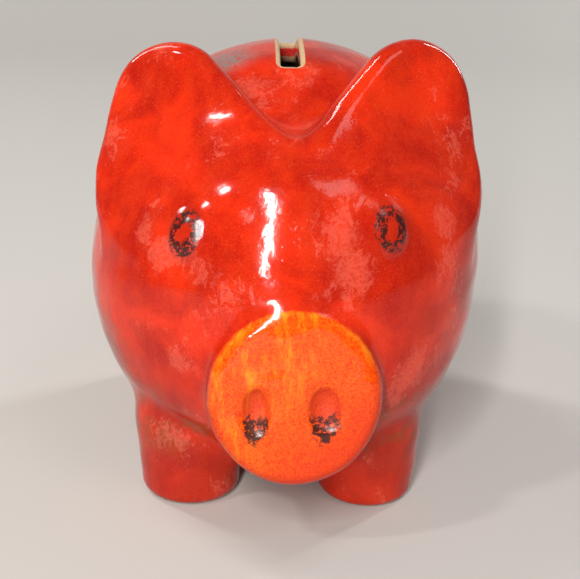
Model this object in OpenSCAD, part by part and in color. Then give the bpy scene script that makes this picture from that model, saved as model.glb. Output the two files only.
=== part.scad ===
// Ceramic piggy bank: a hollow barrel-shaped shell cast in two halves that meet along the spine,
// with a coin slot, upright ears, a disc snout, bead eyes, four stub legs, a curled tail, and a
// rubber stopper that slides out of the belly.
// Millimetres. Z is up, the snout looks towards -Y, and the bank stands on z = 0.
// Left and right are the pig's own, so left is +X.

/* [Barrel] */
// Greatest radius of the barrel
barrel_r = 50.6; // [40:0.2:62]
// Length of the nose half, from the widest ring to the tip
nose_l = 60; // [48:1:75]
// Length of the rump half, from the widest ring to the end
rump_l = 57; // [46:1:70]
// How blunt the nose half is (2 is an ellipse)
nose_pow = 2.8; // [2:0.1:3.4]
// How blunt the rump half is (2 is an ellipse)
rump_pow = 2.2; // [2:0.1:3.2]
// Nose-down tilt of the barrel in degrees
tilt = 10; // [0:1:16]
// Thickness of the fired wall
wall = 5; // [3.5:0.5:7]
// Gap between the level barrel and the table
belly_gap = 5.4; // [4:0.2:12]

/* [Coin slot] */
// Clear width of the slot
slot_w = 4.9; // [4:0.1:7]
// Length of the slot, fore and aft
slot_l = 38; // [32:1:52]
// How far the slot's middle lies behind the widest ring
slot_back = 6.5; // [0:0.5:14]
// How far the slot lies towards the pig's right of the spine
slot_off = 1.2; // [0:0.1:3]

/* [Ears] */
// Radius of the rounded ear tip
ear_r = 16; // [12:0.5:20]
// Thickness of the ear
ear_t = 8; // [6:0.5:11]
// Height of the ear tip's centre above the barrel's centre, as a share of the barrel radius
ear_rise = 0.81; // [0.7:0.01:0.95]
// Sideways place of the ear tip's centre, as a share of the barrel radius
ear_side = 0.56; // [0.48:0.01:0.64]
// Slope of the inner edge down to the notch, in degrees
ear_slope = 40; // [28:1:48]
// How far each ear turns outwards, in degrees
ear_turn = 24; // [12:1:34]
// How far the ears lean back, in degrees
ear_lean = 18; // [8:1:26]

/* [Snout] */
// Radius of the snout disc
snout_r = 20.4; // [16:0.2:25]
// How far the disc stands out past the nose tip
snout_out = 8; // [5:0.5:14]
// How far the disc's centre sits below the nose tip
snout_drop = 5.6; // [0:0.2:10]
// Upward tip of the disc in degrees
snout_pitch = 8; // [0:1:12]
// Rounding of the disc's rim
snout_edge = 3; // [1:0.5:4]
// Spacing of the two nostrils, centre to centre
nostril_gap = 15.4; // [11:0.2:20]
// Depth of each nostril
nostril_deep = 2.2; // [1:0.1:3]

/* [Eyes] */
// Height of the eye bead
eye_h = 13; // [9:0.5:17]
// Width of the eye bead
eye_w = 10; // [7:0.5:13]
// How far the bead stands out of the face
eye_out = 2.2; // [1.2:0.1:4]
// Sideways place of the eye, as a share of the barrel radius
eye_side = 0.445; // [0.36:0.005:0.54]
// Height of the eye above the barrel's own axis, as a share of the barrel radius
eye_rise = 0.53; // [0.36:0.01:0.6]

/* [Legs] */
// Radius of the sole
sole_r = 12.2; // [9:0.2:14]
// Radius of the leg where it reaches the belly
thigh_r = 15.5; // [12:0.5:18]
// Rounding of the sole's edge
sole_edge = 2.5; // [1:0.5:4]
// Sideways place of the legs, as a share of the barrel radius
leg_side = 0.44; // [0.36:0.005:0.5]
// Distance of the front legs from the widest ring, as a share of the nose length
front_leg_at = 0.58; // [0.45:0.01:0.64]
// Distance of the rear legs from the widest ring, as a share of the rump length
rear_leg_at = 0.56; // [0.46:0.01:0.64]
// Bore of the vent from the barrel into each hollow leg
leg_vent_d = 9; // [4:0.5:12]

/* [Tail] */
// Radius of the tail's curl
tail_curl_r = 6; // [4:0.5:9]
// Radius of the tail's roll of clay
tail_r = 2.6; // [1.8:0.2:4]

/* [Stopper] */
// Radius of the hole in the belly
hole_r = 14.3; // [11:0.1:18]
// Running clearance of the rubber plug in the hole, on the radius
plug_play = 0.05; // [0.02:0.01:0.1]
// Width of the flange that laps over the belly
flange_lap = 3.7; // [2.5:0.1:5]
// Thickness of the flange
flange_t = 2.6; // [2:0.1:3.5]
// Depth of the plug inside the hole
plug_l = 9; // [6:0.5:12]
// How far the hole lies in front of the widest ring
hole_fwd = 11; // [4:1:18]

/* [Hidden] */
$fn = 96;
eps = 0.01;
steps = 22;
barrel_z = barrel_r + belly_gap;
// The tail's seat in the rump, and its lean
tail_sunk = 0.4;
tail_lean = 8;
// The barrel's place fore and aft, which puts the origin midway between snout and tail
front_reach = (nose_l + snout_out) * cos(tilt) - snout_drop * sin(tilt)
    + (snout_r - snout_edge) * sin(snout_pitch);
rear_reach = (rump_l - tail_sunk) * cos(tilt) - tail_curl_r * sin(tilt)
    + tail_curl_r * sin(tail_lean + tilt) + tail_r * 1.15;
barrel_y = (front_reach - rear_reach) / 2;
// The collar that thickens the belly around the hole
collar_r = hole_r + flange_lap + 0.6;
seat_drop = sqrt(barrel_r * barrel_r - collar_r * collar_r) - 0.3;
flange_r = hole_r + flange_lap;
collar_top = plug_l - 1;
plug_r = hole_r - plug_play;
grip_r = hole_r - 4;
grip_deep = flange_t + 0.9;
// The ears
ear_x = barrel_r * ear_side;
ear_z = barrel_z + barrel_r * ear_rise;
ear_y = barrel_y - 0.433 * nose_l;
ear_edge = ear_t * 0.46;
ear_down = (ear_rise - 0.22) * barrel_r / cos(ear_lean);
// The snout
snout_len = 26;
snout_wall = wall;
snout_y = barrel_y - (nose_l + snout_out) * cos(tilt) + snout_drop * sin(tilt);
snout_z = barrel_z - (nose_l + snout_out) * sin(tilt) - snout_drop * cos(tilt);
nostril_h = 12.5;
nostril_w = 7;
nostril_low = 3;
// The legs
leg_x = barrel_r * leg_side;
front_leg_y = barrel_y - nose_l * front_leg_at;
rear_leg_y = barrel_y + rump_l * rear_leg_at;
leg_h = 0.62 * barrel_z;
vent_up = barrel_z * 0.75;
// The front legs stand a little to the pig's right, as the eyes do
front_leg_shift = -2.1;
// The face
eye_shift = -2.2;
eye_x = barrel_r * eye_side;
eye_up = barrel_r * eye_rise;
eye_turn = 26;
eye_lean = 30;
eye_ball_r = (eye_w * eye_w / 4 + eye_out * eye_out) / (2 * eye_out);
eye_ball_h = eye_h / 2 / sqrt(1 - pow(1 - eye_out / eye_ball_r, 2));

// Distance ahead of the widest ring at which the barrel's skin has radius q
function skin_ahead(q) = nose_l * pow(max(0.0001, 1 - (q / barrel_r) * (q / barrel_r)), 1 / nose_pow);

function egg_side(r, len, p, a, b) =
    [for (i = [0 : steps])
        let (t = a + (b - a) * i / steps)
        [r * cos(t), sign(t) * len * pow(abs(sin(t)), 2 / p)]];

// Barrel outline turned about the fore-and-aft axis, drawn inwards by the inset
module egg(inset) {
    r = barrel_r - inset;
    rear = egg_side(r, rump_l - inset, rump_pow, -90, 0);
    front = egg_side(r, nose_l - inset, nose_pow, 0, 90);
    outline = concat([[0, -(rump_l - inset)]],
                     [for (i = [1 : steps]) rear[i]],
                     [for (i = [1 : steps - 1]) front[i]],
                     [[0, nose_l - inset]]);
    rotate([90, 0, 0])
        rotate_extrude()
            polygon(outline);
}

// Moves children from the barrel's own axes to the standing pose
module pose() {
    translate([0, barrel_y, barrel_z])
        rotate([tilt, 0, 0])
            children();
}

module barrel_solid() {
    pose() egg(0);
}

// Rectangle with rounded corners, standing in the XY plane
module round_rect(w, l, r) {
    square([w - 2 * r, l], center = true);
    square([w, l - 2 * r], center = true);
    for (x = [-1, 1], y = [-1, 1])
        translate([x * (w / 2 - r), y * (l / 2 - r)])
            circle(r = r);
}

// The whole hollow barrel with its openings
module shell() {
    difference() {
        union() {
            difference() {
                barrel_solid();
                pose() egg(wall);
            }
            // Thickened collar around the belly hole, inside the barrel only
            intersection() {
                barrel_solid();
                pose()
                    translate([0, -hole_fwd, -seat_drop])
                        cylinder(r = collar_r, h = collar_top);
            }
        }
        // Coin slot
        translate([-slot_off, barrel_y + slot_back, barrel_z])
            linear_extrude(height = barrel_r * 1.3)
                round_rect(slot_w, slot_l, 1.2);
        // Belly hole, and the flat seat for the stopper's flange
        pose()
            translate([0, -hole_fwd, -barrel_r - 10]) {
                cylinder(r = hole_r, h = barrel_r * 0.6);
                cylinder(r = collar_r, h = barrel_r + 10 - seat_drop);
            }
        // Vents into the hollow legs
        for (x = [-1, 1]) {
            translate([x * leg_x + front_leg_shift, front_leg_y, 0])
                cylinder(d = leg_vent_d, h = vent_up);
            translate([x * leg_x, rear_leg_y, 0])
                cylinder(d = leg_vent_d, h = vent_up);
        }
        // Opening from the barrel into the hollow snout
        snout_place()
            rotate([90, 0, 0])
                translate([0, 0, -snout_len - 8])
                    cylinder(r = snout_r - snout_wall - 3, h = snout_len);
    }
}

// The half of the barrel on one side of the seam: 1 is the pig's left, -1 its right
module half_shell(side) {
    big = 4 * barrel_r;
    intersection() {
        shell();
        translate([side * big / 2, 0, barrel_z])
            cube([big, 2 * big, 2 * big], center = true);
    }
}

module shell_left() {
    color("firebrick") half_shell(1);
}

module shell_right() {
    color("firebrick") half_shell(-1);
}

// Moves children to the middle of the snout's face, which looks towards -Y
module snout_place() {
    translate([0, snout_y, snout_z])
        rotate([-snout_pitch, 0, 0])
            children();
}

module snout() {
    color("orangered")
    difference() {
        snout_place()
            rotate([90, 0, 0])
                difference() {
                    rotate_extrude()
                        snout_outline();
                    // Hollow behind the face
                    translate([0, 0, -snout_len - 1])
                        cylinder(r = snout_r - snout_wall, h = snout_len + 1 - snout_wall);
                    for (x = [-1, 1])
                        translate([x * nostril_gap / 2, -nostril_low, 0])
                            scale([nostril_w / nostril_h, 1, 2 * nostril_deep / nostril_h])
                                sphere(d = nostril_h);
                }
        barrel_solid();
    }
}

// The room the snout takes, which the front legs are cut back from
module snout_room() {
    snout_place()
        rotate([90, 0, 0])
            translate([0, 0, -snout_len])
                cylinder(r = snout_r, h = snout_len);
}

module snout_outline() {
    difference() {
        translate([0, -snout_len])
            square([snout_r, snout_len]);
        translate([snout_r - snout_edge, -snout_edge])
            difference() {
                square([snout_edge + 1, snout_edge + 1]);
                circle(r = snout_edge);
            }
    }
}

// One ear, drawn on the left side: a plate with a round tip and rounded edges
module ear_plate() {
    mid = ear_x / cos(ear_turn) + 3;
    run = mid - ear_r * sin(ear_slope);
    inner_v = ear_r * cos(ear_slope) - run * tan(ear_slope);
    translate([ear_x, ear_y, ear_z])
        rotate([0, 0, ear_turn])
            rotate([-ear_lean, 0, 0])
                hull() {
                    rotate([90, 0, 0])
                        rotate_extrude($fn = 48)
                            translate([ear_r - ear_edge, 0])
                                circle(r = ear_edge, $fn = 20);
                    for (y = [-1, 1] * (ear_t / 2 - ear_edge))
                        translate([0, y, 0]) {
                            translate([-mid, 0, inner_v - ear_edge * 1.2])
                                sphere(r = ear_edge, $fn = 20);
                            translate([-mid, 0, -ear_down])
                                sphere(r = ear_edge, $fn = 20);
                            translate([ear_r * 0.72 - ear_edge, 0, -ear_down])
                                sphere(r = ear_edge, $fn = 20);
                        }
                }
}

module ear() {
    difference() {
        ear_plate();
        translate([-200, -150, 0])
            cube([200, 300, 300]);
        barrel_solid();
    }
}

module ear_left() {
    color("crimson") ear();
}

module ear_right() {
    color("crimson") mirror([1, 0, 0]) ear();
}

// Olive-shaped bead set into the face at x, so that only its front stands out
module eye_bead(x) {
    q = sqrt(x * x + eye_up * eye_up);
    pose()
        translate([x, -skin_ahead(q), eye_up])
            rotate([-eye_lean, 0, eye_turn])
                translate([0, eye_ball_r - eye_out, 0])
                    rotate_extrude()
                        polygon([for (i = [-12 : 12])
                            [max(0, eye_ball_r * cos(i * 7.5)), eye_ball_h * sin(i * 7.5)]]);
}

module eye_left() {
    color("black")
    difference() {
        eye_bead(eye_x + eye_shift);
        barrel_solid();
    }
}

module eye_right() {
    color("black")
    difference() {
        mirror([1, 0, 0]) eye_bead(eye_x - eye_shift);
        barrel_solid();
    }
}

// Hollow stub leg, closed at the sole and open into the barrel through its vent
module leg(x, y) {
    color("firebrick")
    difference() {
        translate([x, y, 0])
            rotate_extrude()
                leg_outline();
        barrel_solid();
    }
}

module leg_outline() {
    difference() {
        leg_side_outline(0);
        // Rounded sole edge
        translate([sole_r - sole_edge, sole_edge])
            difference() {
                translate([0, -sole_edge - 1]) square([sole_edge + 2, sole_edge + 1]);
                circle(r = sole_edge);
            }
        // Hollow inside
        intersection() {
            leg_side_outline(wall);
            translate([0, wall]) square([thigh_r, leg_h]);
        }
    }
}

// Leg from the sole up to the shoulder, which closes inside the barrel
module leg_side_outline(inset) {
    r = thigh_r - inset;
    polygon(concat(
        [[0, 0], [sole_r - inset, 0], [r, leg_h * 0.5]],
        [for (a = [15 : 15 : 75]) [r * cos(a), leg_h * 0.5 + (leg_h * 0.5 - inset) * sin(a)]],
        [[0, leg_h - inset]]));
}

module front_leg(x) {
    difference() {
        leg(x, front_leg_y);
        snout_room();
    }
}

module front_left_leg() {
    front_leg(leg_x + front_leg_shift);
}

module front_right_leg() {
    front_leg(front_leg_shift - leg_x);
}

module rear_left_leg() {
    leg(leg_x, rear_leg_y);
}

module rear_right_leg() {
    leg(-leg_x, rear_leg_y);
}

// Roll of clay curled flat against the rump
module tail() {
    color("firebrick")
    difference() {
        pose()
            translate([0, rump_l - tail_sunk, tail_curl_r])
                rotate([90 + tail_lean, 0, 0]) {
                    rotate([0, 0, -100])
                        rotate_extrude(angle = 300)
                            translate([tail_curl_r, 0])
                                circle(r = tail_r);
                    for (a = [-100, 200])
                        rotate([0, 0, a])
                            translate([tail_curl_r, 0, 0])
                                sphere(r = tail_r * 1.15);
                }
        barrel_solid();
    }
}

// Rubber bung: flange outside, tapered hollow plug inside the hole, grip bar in its base
module stopper() {
    color("dimgray")
    pose()
        translate([0, -hole_fwd, -seat_drop])
            difference() {
                rotate_extrude()
                    stopper_outline();
                difference() {
                    translate([0, 0, -flange_t - 1])
                        cylinder(r = grip_r, h = grip_deep + 1);
                    translate([-1.6, -grip_r, -flange_t])
                        cube([3.2, 2 * grip_r, grip_deep]);
                }
            }
}

module stopper_outline() {
    land = plug_l * 0.5;
    difference() {
        union() {
            polygon([[0, -flange_t], [flange_r - 0.8, -flange_t], [flange_r, -flange_t + 0.8],
                     [flange_r, 0], [plug_r, 0], [plug_r, land],
                     [plug_r - 1, plug_l - 0.8], [plug_r - 1.8, plug_l], [0, plug_l]]);
        }
        translate([-1, grip_deep])
            square([plug_r - 3.5 + 1, plug_l]);
    }
}

shell_left();
shell_right();
snout();
ear_left();
ear_right();
eye_left();
eye_right();
front_left_leg();
front_right_leg();
rear_left_leg();
rear_right_leg();
tail();
stopper();
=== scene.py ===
"""Looks of the ceramic piggy bank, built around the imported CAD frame.

The fired and glazed shell is one continuous skin, so it is modelled as a distance field in
millimetres with the CAD pieces' sizes, turned into a mesh, and shaded as a mottled red glaze.
The rubber stopper stays a CAD piece with a better material.
"""
import bpy
import math
import numpy as np
from mathutils import Matrix, Quaternion, Vector


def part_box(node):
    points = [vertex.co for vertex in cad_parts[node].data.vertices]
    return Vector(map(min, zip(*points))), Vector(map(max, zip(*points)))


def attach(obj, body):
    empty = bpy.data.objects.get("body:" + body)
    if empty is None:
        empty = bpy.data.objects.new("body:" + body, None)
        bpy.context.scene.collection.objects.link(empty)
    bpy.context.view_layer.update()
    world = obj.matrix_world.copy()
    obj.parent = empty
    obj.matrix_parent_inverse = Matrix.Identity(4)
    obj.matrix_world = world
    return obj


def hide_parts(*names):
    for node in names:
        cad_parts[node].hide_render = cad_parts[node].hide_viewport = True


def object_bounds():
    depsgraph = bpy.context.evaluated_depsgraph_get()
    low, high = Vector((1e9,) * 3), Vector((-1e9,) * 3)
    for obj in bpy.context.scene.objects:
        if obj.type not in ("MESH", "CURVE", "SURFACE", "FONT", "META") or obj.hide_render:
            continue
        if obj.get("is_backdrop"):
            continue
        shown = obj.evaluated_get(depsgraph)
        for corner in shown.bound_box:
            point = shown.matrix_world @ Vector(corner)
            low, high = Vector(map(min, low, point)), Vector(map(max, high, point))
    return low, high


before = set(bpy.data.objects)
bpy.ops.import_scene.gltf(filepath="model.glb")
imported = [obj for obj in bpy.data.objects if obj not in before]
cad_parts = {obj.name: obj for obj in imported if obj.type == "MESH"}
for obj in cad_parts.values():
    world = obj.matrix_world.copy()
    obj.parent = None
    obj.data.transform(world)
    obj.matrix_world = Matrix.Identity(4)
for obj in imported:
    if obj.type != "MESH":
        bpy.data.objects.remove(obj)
CAD_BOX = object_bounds()


def plain(v):
    return [plain(x) for x in v] if hasattr(v, "__len__") else float(v)


# ------------------------------------------------------------------ sizes, in millimetres
BARREL_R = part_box("shell_left")[1][0] * 1000.0
TILT = 10.0
GAP = 5.4
NOSE, RUMP = 60.0, 57.0
NOSE_POW, RUMP_POW = 2.8, 2.2
WALL = 5.0
BZ = BARREL_R + GAP
SLOT_W, SLOT_L, SLOT_BACK = 4.9, 38.0, 6.5
SLOT_X, SLOT_CORNER = -1.2, 1.2
SNOUT_R, SNOUT_OUT, SNOUT_DROP, SNOUT_PITCH, SNOUT_EDGE = 20.4, 8.0, 5.6, 8.0, 3.0
TAIL_CURL, TAIL_R, TAIL_LEAN, TAIL_SUNK, TAIL_UP = 6.0, 2.6, 8.0, 0.4, 6.0
TAIL_GAP = (-160.0, -100.0)
HOLE_R, FLANGE_R, HOLE_FWD, PLUG_L = 14.3, 18.0, 11.0, 9.0
COLLAR_R = FLANGE_R + 0.6
SEAT = math.sqrt(BARREL_R ** 2 - COLLAR_R ** 2) - 0.3
TILT_RAD = math.radians(TILT)
FRONT = ((NOSE + SNOUT_OUT) * math.cos(TILT_RAD) - SNOUT_DROP * math.sin(TILT_RAD)
         + (SNOUT_R - SNOUT_EDGE) * math.sin(math.radians(SNOUT_PITCH)))
REAR = ((RUMP - TAIL_SUNK) * math.cos(TILT_RAD) - TAIL_CURL * math.sin(TILT_RAD)
        + TAIL_CURL * math.sin(math.radians(TAIL_LEAN + TILT)) + TAIL_R * 1.15)
BY = (FRONT - REAR) / 2


# ------------------------------------------------------------------ distance field
def rot(axis, deg):
    c, s = math.cos(math.radians(deg)), math.sin(math.radians(deg))
    return np.array({"x": [[1, 0, 0], [0, c, -s], [0, s, c]],
                     "y": [[c, 0, s], [0, 1, 0], [-s, 0, c]],
                     "z": [[c, -s, 0], [s, c, 0], [0, 0, 1]]}[axis])


def smin(a, b, k):
    h = np.maximum(k - np.abs(a - b), 0) / k
    return np.minimum(a, b) - h * h * k * 0.25


def smax(a, b, k):
    return -smin(-a, -b, k)


def smooth(x, lo, hi):
    t = np.clip((x - lo) / (hi - lo), 0, 1)
    return t * t * (3 - 2 * t)


def ellipsoid(q, r):
    r = np.asarray(r, float)
    k0 = np.sqrt(((q / r) ** 2).sum(1))
    k1 = np.sqrt(((q / (r * r)) ** 2).sum(1))
    return k0 * (k0 - 1) / np.maximum(k1, 1e-9)


def egg(q, inset):
    """The barrel, a little inside its own surface where inset is above 0."""
    y = q[:, 1]
    radius = BARREL_R - inset
    length = np.where(y < 0, NOSE - inset, RUMP - inset)
    power = np.where(y < 0, NOSE_POW, RUMP_POW)
    t = np.minimum(np.abs(y) / length, 1.6)
    r = np.hypot(q[:, 0], q[:, 2])
    g = (r / radius) ** 2 + t ** power - 1
    gr = 2 * r / radius ** 2
    gy = power * np.maximum(t, 1e-6) ** (power - 1) / length
    return g / np.maximum(np.hypot(gr, gy), 1 / radius)


def rounded(a, b, f):
    """Two distances met at a convex edge of radius f."""
    a, b = a + f, b + f
    return np.minimum(np.maximum(a, b), 0) + np.hypot(np.maximum(a, 0), np.maximum(b, 0)) - f


def barrel_axes(p):
    """Points in the barrel's own frame, its axis along y."""
    return (p - np.array([0, BY, BZ])) @ rot("x", TILT)


FACE = NOSE + SNOUT_OUT
SNOUT_C = np.array([0, BY - FACE * math.cos(TILT_RAD) + SNOUT_DROP * math.sin(TILT_RAD),
                    BZ - FACE * math.sin(TILT_RAD) - SNOUT_DROP * math.cos(TILT_RAD)])


def disc_radius(s):
    """Distance from the middle of the snout's disc, which is a little out of round."""
    return np.hypot(1.015 * s[:, 0], 0.97 * (s[:, 2] - 0.6))


def snout_axes(p):
    """x across, y outwards from the face, z up the face."""
    return (p - SNOUT_C) @ rot("x", -SNOUT_PITCH) * np.array([1, -1, 1])


EAR_Y, EAR_T, EAR_EDGE, EAR_TURN, EAR_LEAN = BY - 26.0, 4.0, 3.7, 24.0, 18.0
# side, tip's place across and up, tip radius, slopes of the inner and the outer edge
EARS = [(-1, 30.0, 96.6, 15.0, 38.0, 6.0), (1, 27.8, 98.6, 15.0, 42.0, 2.0)]


def ear_plate(p):
    """Both ears as one bowed plate: the distance through it, and the distance past its edge. It
    has two round tips, whose inner edges meet in a notch."""
    turn = rot("z", EAR_TURN) @ rot("x", -EAR_LEAN)
    bow = np.stack([np.sqrt(p[:, 0] ** 2 + 5.0 ** 2), p[:, 1], p[:, 2]], 1)
    n = ((bow - np.array([28.3, EAR_Y, 97.0])) @ turn)[:, 1]
    side = None
    for sx, x, z, r, inner, outer_slope in EARS:
        q = (p * np.array([sx, 1, 1]) - np.array([x, EAR_Y, z])) @ turn
        u, v = q[:, 0], q[:, 2]
        a, b = math.radians(90 + inner), math.radians(outer_slope)
        d = np.maximum(u * math.cos(a) + v * math.sin(a), u * math.cos(b) + v * math.sin(b)) - r
        th = np.arctan2(v, u)
        d = np.where((th < a) & (th > b), np.hypot(u, v) - r, d)
        side = d if side is None else smin(side, d, 5.0)
    return n, side + 4.5 * smooth(-p[:, 2], -82.0, -64.0)


def ears(p, n, side):
    dish = smooth(-side, 2.5, 16.0) * smooth(np.abs(p[:, 0]), 4.0, 26.0)
    face = np.maximum(n - EAR_T, -n - EAR_T + 0.9 * dish)
    return smax(rounded(side, face, EAR_EDGE), 66.0 - p[:, 2], 14.0)


THIGH_R, SOLE_EDGE = 15.5, 2.6
# across, fore and aft, lean, sole radius
LEGS = [(-24.4, BY - 34.5, 0.14, 12.4), (20.2, BY - 35.0, 0.14, 12.2),
        (-21.5, BY + 31.9, -0.06, 11.4), (21.5, BY + 31.9, -0.06, 11.4)]


def leg(p, x, y, lean, sole):
    z = p[:, 2]
    r = np.hypot(p[:, 0] - x, p[:, 1] - y - lean * z)
    side = (r - sole - (THIGH_R - sole) * smooth(z, 0.0, 26.0)) * 0.985
    return smax(rounded(side, -z, SOLE_EDGE), z - 33.0, 16.0)


# across, up the face from the barrel's axis, and how far the mound is to the side of the bead
EYES = [(-24.7, 25.6, 1.4), (20.1, 28.2, -0.7)]
MOUND_R, BEAD_R = (6.9, 2.5, 8.0), (4.7, 2.7, 6.2)


def skin_ahead(q):
    return NOSE * max(0.0001, 1 - (q / BARREL_R) ** 2) ** (1 / NOSE_POW)


def eye_axes(p, x, up):
    """x across the bead, y outwards, z up the bead."""
    c = np.array([x, -skin_ahead(math.hypot(x, up)), up])
    turn = rot("z", 26.0 * (1 if x > 0 else -1)) @ rot("x", -30.0)
    return (barrel_axes(p) - c) @ turn * np.array([1, -1, 1])


def thrown(p):
    """Points moved to where they would lie on an evenly round casting: this one is a little flat
    on the pig's left flank, low down."""
    x, z = p[:, 0], p[:, 2]
    flat = 3.0 * smooth(x, 18.0, 46.0) * smooth(z, 6.0, 26.0) * (1 - smooth(z, 48.0, 80.0))
    lean = -0.8 * smooth(-x, 18.0, 46.0) * smooth(z, 6.0, 26.0) * (1 - smooth(z, 34.0, 60.0))
    return p + np.stack([flat + lean, 0 * x, 0 * x], 1)


WAVES = [(d / np.linalg.norm(d) * 2 * math.pi / w, f) for d, w, f in
         zip(np.random.default_rng(4).normal(size=(7, 3)), (8.0, 9.5, 11.0, 13.0, 16.0, 21.0, 27.0),
             np.random.default_rng(5).uniform(0, 6.28, 7))]


def ripple(p):
    """Slight waviness of a skin sponged by hand and glazed thickly."""
    return sum(np.sin(p @ k + f) for k, f in WAVES) * 0.035


def outer(p):
    """The outside of the fired shell, before anything is cut out."""
    d = body(thrown(p))
    return d + ripple(p) * smooth(p[:, 2], 0.5, 5.0)


def body(p):
    """Barrel, cheeks, ears, legs, snout and eyes, smoothed into each other."""
    b = barrel_axes(p)
    d = egg(b, 0.0)
    jowl = ellipsoid(p - np.array([-0.5, BY - 23.0, BZ - 7.5]), (45.4, 36.0, 41.5))
    d = smin(d, jowl, 10.0)
    n, side = ear_plate(p)
    saddle = ellipsoid(p - np.array([0, BY - 41.0, BZ + 54.0]), (25.0, 23.0, 16.5))
    d = smax(d, -saddle, 12.0)
    k = 3.5 + 5.0 * smooth(-n, -1.0, 4.0)
    d = smin(d, ears(p, n, side), k)
    for foot in LEGS:
        d = smin(d, leg(p, *foot), 2.6 if foot[1] < BY else 6.0)
    s = snout_axes(p)
    r = disc_radius(s)
    crown = 0.35 * (1 - (r / SNOUT_R) ** 2)
    ds = rounded(r - SNOUT_R, np.maximum(s[:, 1] - crown + 0.2, -s[:, 1] - 24.0), SNOUT_EDGE)
    d = smin(d, ds, 2.4)
    for x, up, aside in EYES:
        e = eye_axes(p, x, up)
        d = smin(d, ellipsoid(e - np.array([aside, -0.9, 0]), MOUND_R), 0.9)
        d = smin(d, ellipsoid(e - np.array([0, -0.2, 0]), BEAD_R), 0.9)
    return d


# across and up the disc, half width
NOSTRILS = [(-8.8, -3.2, 3.2), (6.9, -2.6, 3.8)]


def nostrils(p):
    """Dents pressed into the disc, deepest near their tops."""
    s = snout_axes(p)
    d = None
    for x, z, w in NOSTRILS:
        q = (s - np.array([x, 1.6, z + 0.4])) @ rot("x", 12.0)
        one = ellipsoid(q, (w + 0.5, 3.3, 6.2))
        d = one if d is None else np.minimum(d, one)
    return d


def tail(p):
    """An open ring of clay lying on the rump."""
    q = barrel_axes(p) - np.array([0, RUMP - TAIL_SUNK, TAIL_UP])
    q = q @ rot("x", TAIL_LEAN)
    ring = np.hypot(np.hypot(q[:, 0], q[:, 2]) - TAIL_CURL, q[:, 1])
    angle = np.degrees(np.arctan2(q[:, 2], q[:, 0]))
    gap = (angle > TAIL_GAP[0]) & (angle < TAIL_GAP[1])
    ends = np.inf
    for a in np.radians(TAIL_GAP):
        end = TAIL_CURL * np.array([math.cos(a), 0, math.sin(a)])
        ends = np.minimum(ends, np.linalg.norm(q - end, axis=1))
    return np.where(gap, ends, ring) - TAIL_R


def slot(p):
    """The coin slot's round-cornered outline, carried down to the barrel's axis."""
    q = np.abs(p[:, :2] - np.array([SLOT_X, BY + SLOT_BACK]))
    q = q - np.array([SLOT_W / 2, SLOT_L / 2]) + SLOT_CORNER
    d = np.hypot(np.maximum(q[:, 0], 0), np.maximum(q[:, 1], 0)) + np.minimum(q.max(1), 0)
    d = d - SLOT_CORNER
    return np.maximum(d, BZ - p[:, 2])


def field(p):
    """Distance to the whole fired shell, hollow and with its openings."""
    b = barrel_axes(p)
    d = outer(p)
    d = smin(d, tail(p), 1.2)
    d = smax(d, -nostrils(p), 1.0)
    hollow = smax(egg(b, WALL), d + WALL - 0.5, 1.0)
    c = b - np.array([0, -HOLE_FWD, 0])
    r = np.hypot(c[:, 0], c[:, 1])
    collar = np.maximum(r - COLLAR_R, c[:, 2] + SEAT - PLUG_L + 1.0)
    hollow = smax(hollow, -collar, 1.5)
    d = smax(d, -hollow, 1.0)
    d = smax(d, -slot(p), 1.1)
    seat = np.maximum(r - COLLAR_R, c[:, 2] + SEAT)
    d = smax(d, -seat, 0.7)
    hole = np.maximum(r - HOLE_R, c[:, 2] + SEAT - PLUG_L - 2.0)
    return smax(d, -hole, 0.6)


# ------------------------------------------------------------------ mesh from the field
def surface_nets(f, lo, h):
    """Quads round the zero level of a sampled field, one vertex in each cell that it crosses."""
    s = f < 0
    n = np.array(f.shape)
    count = np.zeros(n - 1, np.int8)
    corners = [(a, b, c) for a in (0, 1) for b in (0, 1) for c in (0, 1)]
    for a, b, c in corners:
        count += s[a:n[0] - 1 + a, b:n[1] - 1 + b, c:n[2] - 1 + c]
    cells = np.argwhere((count > 0) & (count < 8))
    index = np.full(n - 1, -1, np.int64)
    index[tuple(cells.T)] = np.arange(len(cells))
    total = np.zeros((len(cells), 3))
    hits = np.zeros(len(cells))
    unit = np.eye(3, dtype=int)
    for ax in range(3):
        step = unit[ax]
        i, j = [k for k in range(3) if k != ax]
        for a in (0, 1):
            for b in (0, 1):
                at = np.zeros(3, int)
                at[i], at[j] = a, b
                p0 = cells + at
                p1 = p0 + step
                f0, f1 = f[tuple(p0.T)], f[tuple(p1.T)]
                m = (f0 < 0) != (f1 < 0)
                t = f0[m] / (f0[m] - f1[m])
                total[m] += p0[m] + t[:, None] * step
                hits[m] += 1
    verts = lo + h * total / hits[:, None]
    quads = []
    for ax in range(3):
        i, j = [k for k in range(3) if k != ax]
        a = [slice(None)] * 3
        b = [slice(None)] * 3
        a[ax], b[ax] = slice(0, -1), slice(1, None)
        e = np.argwhere(s[tuple(a)] != s[tuple(b)])
        u, v = unit[i], unit[j]
        q = np.stack([index[tuple((e - u - v).T)], index[tuple((e - v).T)],
                      index[tuple(e.T)], index[tuple((e - u).T)]], 1)
        flip = s[tuple(e.T)] if ax != 1 else ~s[tuple(e.T)]
        q[~flip] = q[~flip][:, ::-1]
        quads.append(q)
    return verts, np.concatenate(quads)


def gradient(fn, p, e=0.25):
    g = np.zeros_like(p)
    for k in range(3):
        o = np.zeros(3)
        o[k] = e
        g[:, k] = fn(p + o) - fn(p - o)
    return g / (2 * e)


def in_chunks(fn, p, size=200000):
    return np.concatenate([fn(p[i:i + size]) for i in range(0, len(p), size)])


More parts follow.
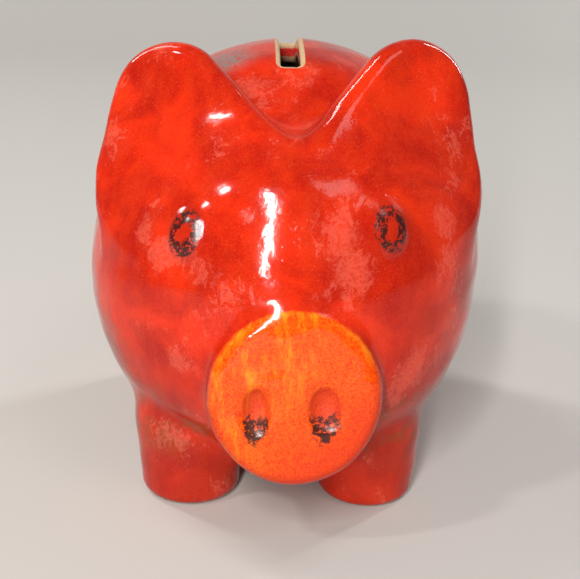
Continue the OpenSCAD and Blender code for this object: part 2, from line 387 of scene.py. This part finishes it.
def build_skin(h):
    """Mesh of the field at a pitch of h mm, its vertices drawn onto the surface."""
    lo = np.array([-BARREL_R - 4, BY - FRONT - 4, -3.0])
    hi = np.array([BARREL_R + 4, BY + REAR + 4, 118.0])
    n = np.ceil((hi - lo) / h).astype(int) + 1
    axes = [lo[k] + h * np.arange(n[k]) for k in range(3)]
    planes = []
    yy, zz = np.meshgrid(axes[1], axes[2], indexing="ij")
    flat = np.stack([yy.ravel(), zz.ravel()], 1)
    block = max(1, int(250000 / len(flat)))
    for i in range(0, n[0], block):
        xs = axes[0][i:i + block]
        p = np.concatenate([np.column_stack([np.full(len(flat), x), flat]) for x in xs])
        planes.append(field(p).reshape(len(xs), n[1], n[2]))
    f = np.concatenate(planes)
    verts, quads = surface_nets(f, lo, h)
    for _ in range(2):
        d = in_chunks(field, verts)
        g = in_chunks(lambda q: gradient(field, q), verts)
        g2 = np.maximum((g * g).sum(1), 0.2)
        step = np.clip(d / g2, -0.6 * h, 0.6 * h)
        verts = verts - g * step[:, None]
    return verts, quads


def make_object(name, verts, faces):
    me = bpy.data.meshes.new(name)
    me.vertices.add(len(verts))
    me.vertices.foreach_set("co", (verts / 1000.0).astype(np.float32).ravel())
    me.loops.add(faces.size)
    me.loops.foreach_set("vertex_index", faces.astype(np.int32).ravel())
    me.polygons.add(len(faces))
    me.polygons.foreach_set("loop_start", np.arange(0, faces.size, 4, dtype=np.int32))
    me.polygons.foreach_set("use_smooth", np.ones(len(faces), bool))
    me.update(calc_edges=True)
    me.validate()
    ob = bpy.data.objects.new(name, me)
    bpy.context.scene.collection.objects.link(ob)
    return ob


def put_attribute(ob, name, values):
    a = ob.data.attributes.new(name, "FLOAT", "POINT")
    a.data.foreach_set("value", np.asarray(values, np.float32))


verts, quads = build_skin(0.8)
skin = make_object("glazed_shell", verts, quads)
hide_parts("shell_left", "shell_right", "snout", "ear_left", "ear_right", "eye_left",
            "eye_right", "front_left_leg", "front_right_leg", "rear_left_leg", "rear_right_leg",
            "tail")
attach(skin, "shell")

# soft fields that the glaze reads: where on each feature a point of the skin lies
normal = in_chunks(lambda q: gradient(field, q), verts)
normal /= np.maximum(np.linalg.norm(normal, axis=1), 1e-6)[:, None]
put_attribute(skin, "pooled", np.clip((3.0 - in_chunks(outer, verts + 3.0 * normal)) / 3.0, 0, 1))
put_attribute(skin, "edge", np.clip((3.0 + in_chunks(outer, verts - 3.0 * normal)) / 3.0, 0, 1))
put_attribute(skin, "depth", np.clip(-in_chunks(outer, verts), -1, 9))
put_attribute(skin, "slot_gap", np.clip(in_chunks(slot, verts), -2, 9))
disc = snout_axes(verts)
put_attribute(skin, "disc_r", np.clip(disc_radius(disc), 0, 40))
put_attribute(skin, "disc_x", np.clip(disc[:, 0], -40, 40))
put_attribute(skin, "disc_z", np.clip(disc[:, 2], -40, 40))
put_attribute(skin, "disc_out", np.clip(disc[:, 1], -20, 9))
for name, (x, up, _) in zip(("eye_a", "eye_b"), EYES):
    e = eye_axes(verts, x, up)
    near = np.where(np.abs(e[:, 1]) < 6, 0.0, 9.0)
    put_attribute(skin, name, np.minimum(np.hypot(e[:, 0] / 4.3, e[:, 2] / 5.9) + near, 4.0))
for name, (x, z, w) in zip(("nostril_a", "nostril_b"), NOSTRILS):
    far = np.where(disc[:, 1] > -5, 0.0, 9.0)
    put_attribute(skin, name, np.minimum(
        np.hypot((disc[:, 0] - x) / (w - 0.3), (disc[:, 2] - z) / 6.6) + far, 4.0))


# ------------------------------------------------------------------ materials
class Shader:
    """Builds a node tree: every call returns a socket, and numbers may stand for sockets."""

    def __init__(self, name):
        self.mat = bpy.data.materials.new(name)
        self.mat.use_nodes = True
        self.tree = self.mat.node_tree
        self.bsdf = self.tree.nodes["Principled BSDF"]
        tc = self.tree.nodes.new("ShaderNodeTexCoord")
        self.mm = self.vec("SCALE", tc.outputs["Object"], scale=1000.0)

    def put(self, socket, value):
        if isinstance(value, bpy.types.NodeSocket):
            self.tree.links.new(value, socket)
        elif hasattr(value, "__len__") and len(value) == 3 and socket.type == "RGBA":
            socket.default_value = (*value, 1)
        else:
            socket.default_value = value

    def vec(self, op, a, b=None, scale=None):
        n = self.tree.nodes.new("ShaderNodeVectorMath")
        n.operation = op
        self.put(n.inputs[0], a)
        if b is not None:
            self.put(n.inputs[1], b)
        if scale is not None:
            self.put(n.inputs["Scale"], scale)
        return n.outputs[1] if op in ("LENGTH", "DISTANCE", "DOT_PRODUCT") else n.outputs[0]

    def math(self, op, a, b=0.0):
        n = self.tree.nodes.new("ShaderNodeMath")
        n.operation = op
        self.put(n.inputs[0], a)
        self.put(n.inputs[1], b)
        return n.outputs[0]

    def times(self, *values):
        out = values[0]
        for v in values[1:]:
            out = self.math("MULTIPLY", out, v)
        return out

    def plus(self, *values):
        out = values[0]
        for v in values[1:]:
            out = self.math("ADD", out, v)
        return out

    def most(self, *values):
        out = values[0]
        for v in values[1:]:
            out = self.math("MAXIMUM", out, v)
        return out

    def step(self, value, lo, hi, a=0.0, b=1.0):
        """Smooth change from a at lo to b at hi, either way round."""
        n = self.tree.nodes.new("ShaderNodeMapRange")
        n.interpolation_type = "SMOOTHSTEP"
        if lo > hi:
            lo, hi, a, b = hi, lo, b, a
        for i, v in enumerate((value, lo, hi, a, b)):
            self.put(n.inputs[i], v)
        return n.outputs[0]

    def attr(self, name):
        n = self.tree.nodes.new("ShaderNodeAttribute")
        n.attribute_name = name
        return n.outputs["Fac"]

    def noise(self, size, detail=2.0, rough=0.5, at=None, stretch=None, twist=0.0):
        """Noise with features about size mm across."""
        n = self.tree.nodes.new("ShaderNodeTexNoise")
        v = self.mm if at is None else self.vec("ADD", self.mm, at)
        if stretch:
            v = self.vec("MULTIPLY", v, stretch)
        self.put(n.inputs["Vector"], v)
        self.put(n.inputs["Scale"], 1.0 / size)
        self.put(n.inputs["Detail"], detail)
        self.put(n.inputs["Roughness"], rough)
        self.put(n.inputs["Distortion"], twist)
        return n.outputs["Fac"]

    def cells(self, size, at=(0, 0, 0)):
        """Distance to scattered points about size mm apart."""
        n = self.tree.nodes.new("ShaderNodeTexVoronoi")
        self.put(n.inputs["Vector"], self.vec("ADD", self.mm, at))
        self.put(n.inputs["Scale"], 1.0 / size)
        return n.outputs["Distance"]

    def mix(self, fac, a, b):
        n = self.tree.nodes.new("ShaderNodeMix")
        n.data_type = "RGBA"
        self.put(n.inputs[0], fac)
        self.put(n.inputs[6], a)
        self.put(n.inputs[7], b)
        return n.outputs[2]

    def axis(self, i):
        n = self.tree.nodes.new("ShaderNodeSeparateXYZ")
        self.put(n.inputs[0], self.mm)
        return n.outputs[i]

    def spot(self, centre, radius, soft=0.5):
        """1 near a point in mm, fading to 0 at the radius."""
        return self.step(self.vec("DISTANCE", self.mm, centre), radius, radius * (1 - soft))

    def bump(self, height, strength, distance):
        n = self.tree.nodes.new("ShaderNodeBump")
        self.put(n.inputs["Strength"], strength)
        self.put(n.inputs["Distance"], distance)
        self.put(n.inputs["Height"], height)
        return n.outputs[0]


# centres and radii of the painted reflection patches, the dark spot on the snout's rim, and the
# smear on the back
SHEEN_SPOTS = [((-30.0, -38.0, 92.0), 13.0), ((-24.0, -50.0, 84.0), 9.0), ((-31.0, -46.0, 68.0), 10.0),
        ((-12.0, -52.0, 80.0), 8.0), ((16.0, -50.0, 84.0), 10.0), ((34.0, -38.0, 74.0), 11.0),
        ((10.0, -58.0, 68.0), 7.0)]
TOP_SPOT = (0.6, -63.0, 57.5)
GREY = (-18.5, 0.0, 103.0)
# the pink of the painted reflection patches, and the black paint
SHEEN_PINK, BLACK_PAINT = (0.80, 0.17, 0.11), (0.012, 0.007, 0.006)


def glaze():
    g = Shader("red_glaze")
    x, z = g.axis(0), g.axis(2)
    pooled, edge = g.attr("pooled"), g.attr("edge")
    # the red itself: cloudy, with fine grain and specks in the glaze
    cloud = g.step(g.noise(16.0, 4.0, 0.55, twist=0.4), 0.36, 0.66)
    grain = g.noise(0.42, 2.0, 0.7)
    flow = g.step(g.noise(5.0, 3.0, 0.6, stretch=(1.0, 1.0, 0.22)), 0.35, 0.7)
    red = g.mix(cloud, (0.35, 0.0055, 0.0008), (0.62, 0.0200, 0.0018))
    red = g.mix(g.times(flow, 0.30), red, (0.62, 0.036, 0.003))
    red = g.mix(g.step(grain, 0.46, 0.72, 0.0, 0.20), red, (0.74, 0.070, 0.012))
    red = g.mix(g.step(grain, 0.44, 0.25, 0.0, 0.40), red, (0.22, 0.0030, 0.0010))
    specks = g.times(g.step(g.cells(0.95), 0.17, 0.10), g.step(g.noise(6.0, 2.0), 0.44, 0.58))
    red = g.mix(g.times(specks, 0.30), red, (0.80, 0.16, 0.10))
    # thick in the creases, thin and brown where it ran off the lower belly and the leg joints, and
    # painted shade low down
    red = g.mix(g.step(pooled, 0.16, 0.7, 0.0, 0.6), red, (0.16, 0.004, 0.002))
    low = g.times(g.step(z, 40.0, 24.0), g.step(z, 10.0, 20.0))
    thin = g.times(low, g.step(g.noise(7.0, 5.0, 0.62, at=(9, 3, 0)), 0.46, 0.62), 0.65)
    flank = g.times(g.step(x, -36.0, -46.0), g.step(z, 60.0, 34.0),
                    g.step(g.noise(4.5, 5.0, 0.65, at=(3, 9, 0)), 0.42, 0.6))
    red = g.mix(g.most(thin, g.times(flank, 0.75)), red, (0.20, 0.055, 0.012))
    # painted shade: the red darkens towards the bottom of the pig
    red = g.mix(g.step(z, 44.0, 4.0, 0.0, 0.34), red, (0.22, 0.008, 0.001))
    rim = g.times(g.step(edge, 0.22, 0.7), g.step(g.noise(1.6, 4.0, 0.7), 0.40, 0.62))
    red = g.mix(g.times(rim, 0.30), red, (0.66, 0.10, 0.05))
    # painted reflection: ragged pale pink patches of broken sheen, where the glaze is also a little
    # rougher and bumpier
    zone = g.noise(19.0, 2.0, 0.5, at=(31, 4, 12))
    for centre, radius in SHEEN_SPOTS:
        zone = g.most(zone, g.times(g.spot(centre, radius, 0.8), 0.72))
    ragged = g.noise(2.8, 10.0, 0.78, at=(5, 5, 1), stretch=(1.0, 1.0, 0.6), twist=1.2)
    sheen_patch = g.step(g.plus(g.times(zone, 0.62), g.times(ragged, 0.55)), 0.655, 0.685)
    sheen_veil = g.step(zone, 0.45, 0.75)
    sheen_patch = g.times(sheen_patch, g.step(g.noise(0.9, 4.0, 0.8, at=(2, 2, 9)), 0.36, 0.56, 0.25, 1.0))
    sheen_patch = g.times(sheen_patch, g.step(pooled, 0.5, 0.2), g.step(g.attr("disc_r"), 20.0, 24.0))
    red = g.mix(g.times(sheen_patch, 0.26), red, SHEEN_PINK)
    # painted reflection: a faint pink veil over the same zones
    red = g.mix(g.times(sheen_veil, 0.04), red, SHEEN_PINK)

    # the snout's disc: orange, run with yellow, redder to the pig's left and below
    dr, dx, dz = g.attr("disc_r"), g.attr("disc_x"), g.attr("disc_z")
    face = g.times(g.step(g.attr("disc_out"), -4.2, -2.2),
                   g.step(g.plus(dr, g.times(g.noise(2.4, 3.0, 0.6), 1.4)), 20.9, 20.2))
    fine = g.noise(0.55, 3.0, 0.75, at=(7, 1, 2))
    orange = g.mix(g.step(fine, 0.32, 0.68), (0.56, 0.024, 0.0005), (0.84, 0.105, 0.0008))
    streak = g.noise(2.6, 5.0, 0.7, stretch=(1.0, 1.0, 0.28), at=(2, 0, 8))
    yellow = g.times(g.step(streak, 0.46, 0.70), g.step(g.plus(g.times(dx, 0.8), g.times(dz, -0.5)),
                                                       6.0, -10.0))
    orange = g.mix(g.times(yellow, 0.75), orange, (0.86, 0.25, 0.003))
    ruddy = g.step(g.plus(g.times(dx, 0.7), g.times(dz, -0.75),
                          g.times(g.noise(5.0, 4.0, 0.6), 9.0)), 8.0, 22.0)
    orange = g.mix(g.times(ruddy, 0.65), orange, (0.55, 0.022, 0.0010))
    rolled = g.times(g.step(dr, 18.0, 19.6), g.step(dz, 4.0, 14.0), g.step(streak, 0.36, 0.6))
    orange = g.mix(g.times(rolled, 0.6), orange, (0.88, 0.28, 0.010))
    low_rim = g.times(g.step(dr, 17.2, 20.6), g.step(dz, 6.0, -6.0))
    orange = g.mix(g.times(low_rim, 0.6), orange, (0.40, 0.010, 0.001))
    # painted shade: the nostril dents are darkened, and the same mask makes them rougher further
    # down
    shaded_dent = g.step(g.attr("depth"), 0.1, 1.0)
    orange = g.mix(g.times(shaded_dent, 0.55), orange, (0.42, 0.012, 0.001))
    blot = g.step(g.plus(g.vec("DISTANCE", g.mm, TOP_SPOT), g.times(fine, 1.5)), 2.6, 1.0)
    orange = g.mix(g.times(blot, 0.75), orange, (0.16, 0.015, 0.004))
    colour = g.mix(face, red, orange)

    # black paint, worn through: rings on the eye beads, patches low in the nostrils
    wear = g.noise(0.9, 5.0, 0.75, at=(1, 8, 3))
    coarse = g.noise(2.2, 3.0, 0.6, at=(4, 2, 6))
    paint = None
    for name, inner in (("eye_a", 0.44), ("eye_b", 0.42)):
        r = g.plus(g.attr(name), g.times(g.math("SUBTRACT", coarse, 0.5), 0.55),
                   g.times(g.math("SUBTRACT", wear, 0.5), 0.30))
        ring = g.times(g.step(r, inner - 0.08, inner + 0.02), g.step(r, 0.98, 0.90))
        ring = g.times(ring, g.step(g.plus(wear, g.times(coarse, 0.5)), 0.68, 0.74))
        paint = ring if paint is None else g.most(paint, ring)
    for name, z0 in (("nostril_a", -6.4), ("nostril_b", -6.0)):
        r = g.plus(g.attr(name), g.times(g.math("SUBTRACT", coarse, 0.5), 0.9))
        low_part = g.step(g.plus(dz, g.times(coarse, 6.0)), z0 + 7.6, z0 + 4.6)
        worn = g.plus(wear, g.times(coarse, 0.5), g.times(g.step(r, 0.5, 0.0), -0.10),
                      g.times(low_part, 0.25))
        blob = g.times(g.step(r, 1.08, 0.98), low_part, g.step(worn, 0.91, 0.96))
        paint = g.most(paint, blob)
    colour = g.mix(g.times(paint, 0.93), colour, BLACK_PAINT)
    halo = g.times(g.most(g.step(g.attr("eye_a"), 1.25, 0.9), g.step(g.attr("eye_b"), 1.25, 0.9)),
                   0.35)
    colour = g.mix(g.times(halo, g.math("SUBTRACT", 1.0, paint)), colour, (0.30, 0.012, 0.004))

    # a grey smear on the back beside the pig's right ear
    smear = g.times(g.spot(GREY, 12.0, 0.8), g.step(g.noise(1.3, 6.0, 0.75), 0.40, 0.50))
    colour = g.mix(g.times(smear, 0.85), colour, (0.17, 0.17, 0.16))

    # bare clay: slot edges, soles, and the inside
    bare_edge = g.times(g.step(g.attr("slot_gap"), 1.35, 1.0), g.step(g.attr("depth"), 1.9, 1.1),
                        g.step(g.plus(g.attr("slot_gap"), g.times(wear, 0.6)), 1.75, 1.45))
    in_slot = g.times(g.step(g.attr("slot_gap"), 1.0, 0.6), g.step(g.attr("depth"), 0.6, 1.2))
    clay = g.mix(g.step(g.noise(0.5, 3.0, 0.7), 0.35, 0.7),
                 (0.42, 0.26, 0.13), (0.62, 0.45, 0.27))
    inside = g.step(g.attr("depth"), 3.4, 4.2)
    sole = g.step(g.plus(z, g.times(wear, 0.5)), 0.75, 0.5)
    raw = g.mix(g.step(g.noise(0.8, 4.0, 0.7), 0.35, 0.7), (0.30, 0.17, 0.09), (0.44, 0.28, 0.16))
    slot_red = g.mix(g.step(grain, 0.4, 0.6), (0.45, 0.012, 0.009), (0.55, 0.04, 0.035))
    colour = g.mix(in_slot, colour, slot_red)
    colour = g.mix(inside, colour, raw)
    colour = g.mix(sole, colour, raw)
    colour = g.mix(bare_edge, colour, clay)

    bare = g.most(inside, sole, bare_edge)
    rough = g.plus(0.060, g.times(sheen_patch, 0.10), g.times(g.noise(11.0, 3.0), 0.07),
                   g.times(paint, 0.10), g.times(shaded_dent, face, 0.55), g.times(smear, 0.15),
                   g.times(bare, 0.5))
    g.put(g.bsdf.inputs["Base Color"], colour)
    g.put(g.bsdf.inputs["Roughness"], rough)
    g.put(g.bsdf.inputs["IOR"], 1.5)
    g.put(g.bsdf.inputs["Specular IOR Level"], 0.36)
    peel = g.plus(g.times(g.noise(3.2, 2.0, 0.5), 0.75), g.times(g.noise(1.1, 2.0, 0.6), 0.22),
                  g.times(ragged, 0.05), g.times(sheen_patch, 0.05))
    pits = g.times(g.step(g.cells(2.3, at=(3, 3, 3)), 0.12, 0.03), -0.25)
    relief = g.plus(peel, pits, g.times(bare, grain, 0.4), g.times(paint, 0.06))
    g.put(g.bsdf.inputs["Normal"], g.bump(relief, 0.35, 0.00022))
    return g.mat


skin.data.materials.append(glaze())


def rubber():
    """Matt black moulded rubber with a dusty bloom, for the stopper."""
    g = Shader("stopper_rubber")
    dust = g.step(g.noise(4.0, 6.0, 0.65), 0.42, 0.72)
    fine = g.noise(0.35, 3.0, 0.7)
    colour = g.mix(g.times(dust, 0.5), (0.020, 0.019, 0.018), (0.075, 0.068, 0.060))
    colour = g.mix(g.step(fine, 0.60, 0.75, 0.0, 0.4), colour, (0.12, 0.11, 0.10))
    rings = g.math("SINE", g.times(g.vec("LENGTH", g.vec("MULTIPLY", g.mm, (1.0, 1.0, 0.0))), 6.0))
    g.put(g.bsdf.inputs["Base Color"], colour)
    g.put(g.bsdf.inputs["Roughness"], g.plus(0.52, g.times(dust, 0.25)))
    relief = g.plus(g.times(fine, 0.6), g.times(rings, 0.15))
    g.put(g.bsdf.inputs["Normal"], g.bump(relief, 0.4, 0.00015))
    return g.mat


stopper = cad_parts["stopper"]
stopper.data.materials.clear()
stopper.data.materials.append(rubber())

# ------------------------------------------------------------------ stage, lights, camera
STAGE, SWEEP_AT, SWEEP_R = 2.5, 0.55, 0.35
curve = [(SWEEP_AT + SWEEP_R * math.sin(a), SWEEP_R - SWEEP_R * math.cos(a))
         for a in [math.pi / 2 * i / 16 for i in range(1, 17)]]
prof = [(-STAGE, 0.0), (SWEEP_AT, 0.0)] + curve + [(SWEEP_AT + SWEEP_R, STAGE)]
pts = [(x, y, z) for y, z in prof for x in (-STAGE, STAGE)]
me = bpy.data.meshes.new("floor")
me.from_pydata(pts, [], [(2 * i, 2 * i + 1, 2 * i + 3, 2 * i + 2) for i in range(len(prof) - 1)])
floor = bpy.data.objects.new("floor", me)
for pl in me.polygons:
    pl.use_smooth = True
bpy.context.scene.collection.objects.link(floor)
fm = bpy.data.materials.new("floor_paper")
fm.use_nodes = True
fb = fm.node_tree.nodes["Principled BSDF"]
fb.inputs["Base Color"].default_value = (0.50, 0.48, 0.45, 1)
fb.inputs["Roughness"].default_value = 0.9
me.materials.append(fm)
floor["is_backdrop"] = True

world = bpy.data.worlds.new("studio")
world.use_nodes = True
world.node_tree.nodes["Background"].inputs[0].default_value = (0.9, 0.93, 1.0, 1)
world.node_tree.nodes["Background"].inputs[1].default_value = 0.17
bpy.context.scene.world = world
bpy.context.scene.view_settings.view_transform = "Standard"


def area(name, azimuth, height, dist, sx, sy, watts, colour=(1, 1, 1), roll=0.0):
    """A soft panel facing the pig, its azimuth from dead ahead of the snout to the pig's left."""
    a, e = math.radians(azimuth), math.radians(height)
    li = bpy.data.lights.new(name, "AREA")
    li.shape = "RECTANGLE"
    li.size, li.size_y = sx, sy
    li.energy = watts
    li.color = colour
    ob = bpy.data.objects.new(name, li)
    aim = Vector((0, 0, 0.06))
    ob.location = aim + dist * Vector((math.sin(a) * math.cos(e), -math.cos(a) * math.cos(e),
                                       math.sin(e)))
    turn = (aim - ob.location).to_track_quat("-Z", "Y")
    ob.rotation_euler = (turn @ Quaternion((0, 0, 1), math.radians(roll))).to_euler()
    bpy.context.scene.collection.objects.link(ob)


area("strip", -13, 26, 0.80, 0.045, 0.70, 8.0, (1.0, 0.98, 0.95), roll=8)
area("window", -58, 47, 1.10, 0.07, 0.10, 2.4, (1.0, 0.97, 0.93))
area("left", -124, 46, 0.95, 0.08, 0.70, 4.0, (1.0, 0.98, 0.95))
area("right", 128, 30, 1.00, 0.05, 0.70, 4.0, (0.97, 0.98, 1.0))
area("soft", 40, 55, 1.60, 0.50, 0.50, 2.6, (1.0, 0.98, 0.96))

# camera above the snout's height, close in front, a little to the pig's right
ELEV, YAW, DIST, ROLL = math.radians(20.0), math.radians(2.5), 0.330, math.radians(1.9)
TARGET = Vector((0.0, BY / 1000 - 0.006, 0.050))
away = Vector((-math.sin(YAW) * math.cos(ELEV), -math.cos(YAW) * math.cos(ELEV), math.sin(ELEV)))
right = (-away).cross(Vector((0, 0, 1))).normalized()
up = right.cross(-away)
right, up = (right * math.cos(ROLL) + up * math.sin(ROLL),
             up * math.cos(ROLL) - right * math.sin(ROLL))
# the view is turned this much off the target, across and up
off_x, off_y = -0.0016, 0.0206
fwd = (-away - right * off_x - up * off_y).normalized()
right = (right - fwd * right.dot(fwd)).normalized()
up = right.cross(fwd)
cam_data = bpy.data.cameras.new("camera")
cam_data.sensor_width = 36.0
cam_data.lens = 77.0
cam_data.clip_start = 0.01
cam = bpy.data.objects.new("camera", cam_data)
cam.matrix_world = Matrix.Translation(TARGET + away * DIST) @ Matrix(
    (right, up, -fwd)).transposed().to_4x4()
bpy.context.scene.collection.objects.link(cam)
bpy.context.scene.camera = cam

{"cad": plain(CAD_BOX), "visual": plain(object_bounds())}
